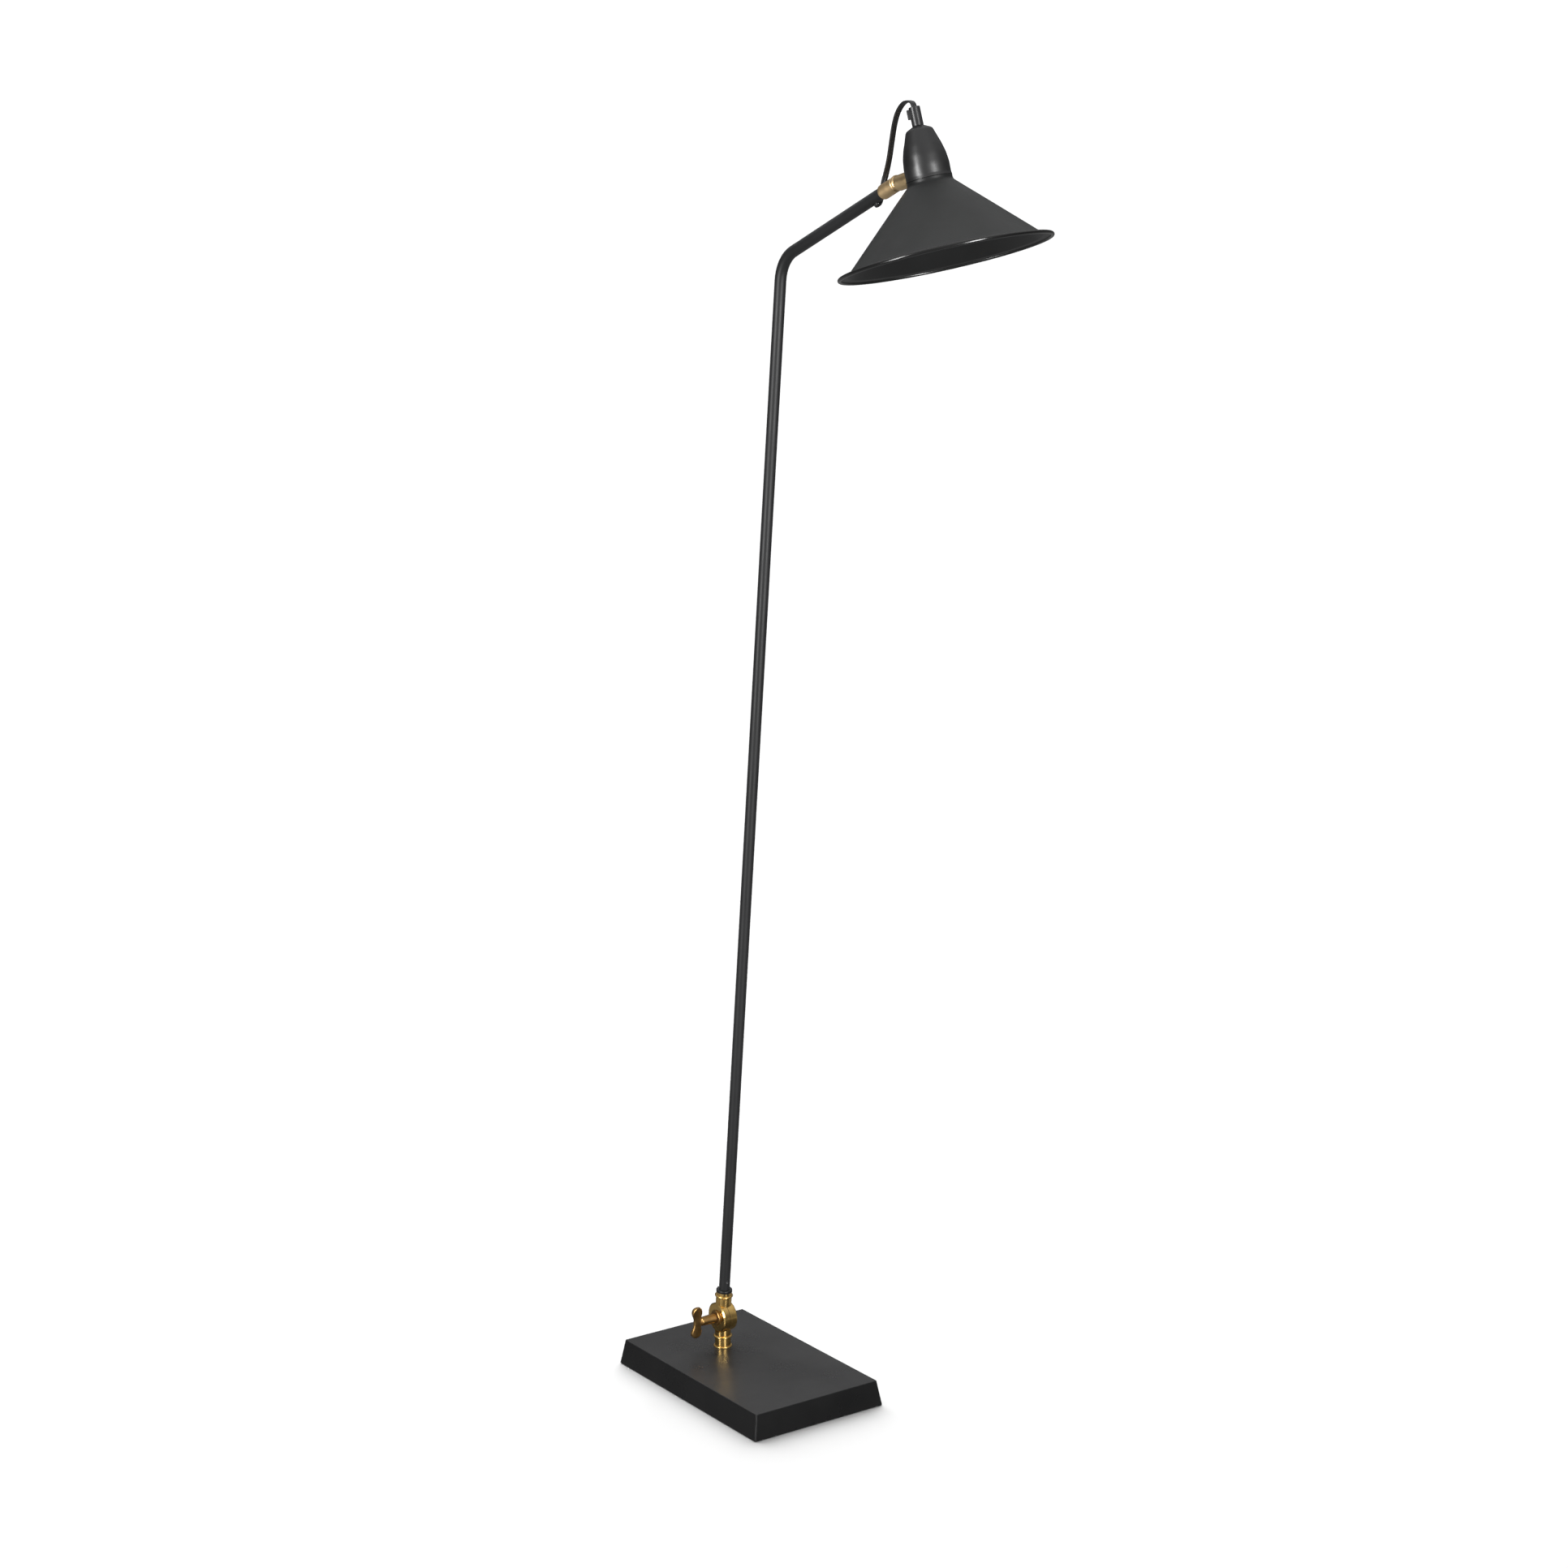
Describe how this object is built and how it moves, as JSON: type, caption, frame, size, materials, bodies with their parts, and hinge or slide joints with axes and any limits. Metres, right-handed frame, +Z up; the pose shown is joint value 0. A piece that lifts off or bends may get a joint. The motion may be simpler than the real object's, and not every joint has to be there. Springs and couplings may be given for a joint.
{
  "type": "adjustable arm floor lamp",
  "caption": "Floor lamp with a heavy rectangular foot, a leaning cranked tube on a clamped knuckle, and a conical metal shade on a ball joint with an outside cord loop.",
  "frame": {"origin": "centre of the foot's underside, on the floor", "axes": "+Z up, +X from the stem's end of the foot towards the end the shade overhangs, +Y to the left of that; the wing handle is on the -Y side"},
  "size_m": [0.5848, 0.2196, 1.4611],
  "materials": {
    "base_cover": "satin, worn at the corners",
    "cover_posts": "zinc plated",
    "base_plate": "zinc plated",
    "base_plate_screws": "zinc plated",
    "counterweight": "as cast",
    "felt_pad": "felt",
    "lead_grommet": "matte",
    "terminal_block": "matte",
    "terminal_block_screws": "turned",
    "stem_nipple": "zinc plated",
    "stem_washer": "zinc plated",
    "stem_nut": "turned",
    "stem_flange": "aged satin",
    "lower_knuckle": "aged satin",
    "stop_pin": "ground",
    "friction_washer": "fibre",
    "upper_knuckle": "aged satin",
    "clamp_washer": "aged satin",
    "clamp_screw": "zinc plated",
    "wing_handle": "aged, darker",
    "arm_tube": "satin",
    "socket_lock_ring": "satin",
    "socket_set_screw": "blued",
    "tube_set_screw": "bright",
    "ball_cup": "satin",
    "cup_ring": "satin",
    "friction_seat": "acetal",
    "seat_spring": "spring steel",
    "ball_stud": "ground",
    "stud_sleeve": "satin",
    "stud_washer": "zinc plated",
    "stud_nut": "zinc plated",
    "shade": "satin",
    "shade_cap": "semi-gloss",
    "cap_nipple": "turned",
    "nipple_nut": "turned",
    "cord_grip": "semi-gloss",
    "grip_clamp": "semi-gloss",
    "grip_cord": "soft PVC",
    "lampholder_dome": "phenolic",
    "lampholder_body": "phenolic",
    "screw_shell": "nickel-free, bright",
    "centre_contact": "spring brass",
    "holder_terminals": "turned",
    "holder_leads": "single cores",
    "head_cord": "soft PVC",
    "arm_cable": "soft PVC",
    "knuckle_wire": "soft PVC",
    "base_cable": "soft PVC"
  },
  "bodies": {
    "base": {"base_cover": "base_cover", "cover_posts": "cover_posts", "base_plate": "base_plate", "base_plate_screws": "base_plate_screws", "counterweight": "counterweight", "felt_pad": "felt_pad", "lead_grommet": "lead_grommet", "terminal_block": "terminal_block", "terminal_block_screws": "terminal_block_screws", "stem_nipple": "stem_nipple", "stem_washer": "stem_washer", "stem_nut": "stem_nut", "stem_flange": "stem_flange", "lower_knuckle": "lower_knuckle", "stop_pin": "stop_pin", "friction_washer": "friction_washer", "base_cable": "base_cable", "knuckle_wire": "knuckle_wire"},
    "clamp_washer": {"clamp_washer": "clamp_washer"},
    "wing_screw": {"clamp_screw": "clamp_screw", "wing_handle": "wing_handle"},
    "arm": {"upper_knuckle": "upper_knuckle", "socket_lock_ring": "socket_lock_ring", "socket_set_screw": "socket_set_screw", "arm_tube": "arm_tube", "tube_set_screw": "tube_set_screw", "arm_cable": "arm_cable", "ball_cup": "ball_cup", "cup_ring": "cup_ring", "seat_spring": "seat_spring", "head_cord": "head_cord"},
    "swivel_seat": {"friction_seat": "friction_seat"},
    "head": {"ball_stud": "ball_stud", "stud_sleeve": "stud_sleeve", "stud_washer": "stud_washer", "stud_nut": "stud_nut", "shade": "shade", "shade_cap": "shade_cap", "cap_nipple": "cap_nipple", "nipple_nut": "nipple_nut", "cord_grip": "cord_grip", "grip_clamp": "grip_clamp", "grip_cord": "grip_cord", "lampholder_dome": "lampholder_dome", "lampholder_body": "lampholder_body", "screw_shell": "screw_shell", "centre_contact": "centre_contact", "holder_terminals": "holder_terminals", "holder_leads": "holder_leads"}
  },
  "joints": [
    {"name": "arm_tilt", "type": "hinge", "parent": "base", "child": "arm", "pos_m": [-0.0538, 0, 0.0666], "axis": [0, 1, 0], "range_deg": [-15, 20], "deforming": ["knuckle_wire"]},
    {"name": "clamp_travel", "type": "slide", "parent": "base", "child": "clamp_washer", "axis": [0, -1, 0], "range_m": [0, 0.00105]},
    {"name": "wing_turn", "type": "hinge", "parent": "clamp_washer", "child": "wing_screw", "pos_m": [-0.0538, 0, 0.0666], "axis": [0, -1, 0], "range_deg": [0, 360]},
    {"name": "head_swivel", "type": "hinge", "parent": "arm", "child": "swivel_seat", "pos_m": [0.26322, 0, 1.3778], "axis": [0.9249, 0, 0.3803], "range_deg": [-60, 60], "deforming": ["head_cord"]},
    {"name": "head_tilt", "type": "hinge", "parent": "swivel_seat", "child": "head", "pos_m": [0.26322, 0, 1.3778], "axis": [-0.0269, 0.9975, 0.0655], "range_deg": [-28, 12]}
  ],
  "couplings": [
    {"joint": "clamp_travel", "follows": "wing_turn", "m_per_rad": 0.00015915}
  ]
}
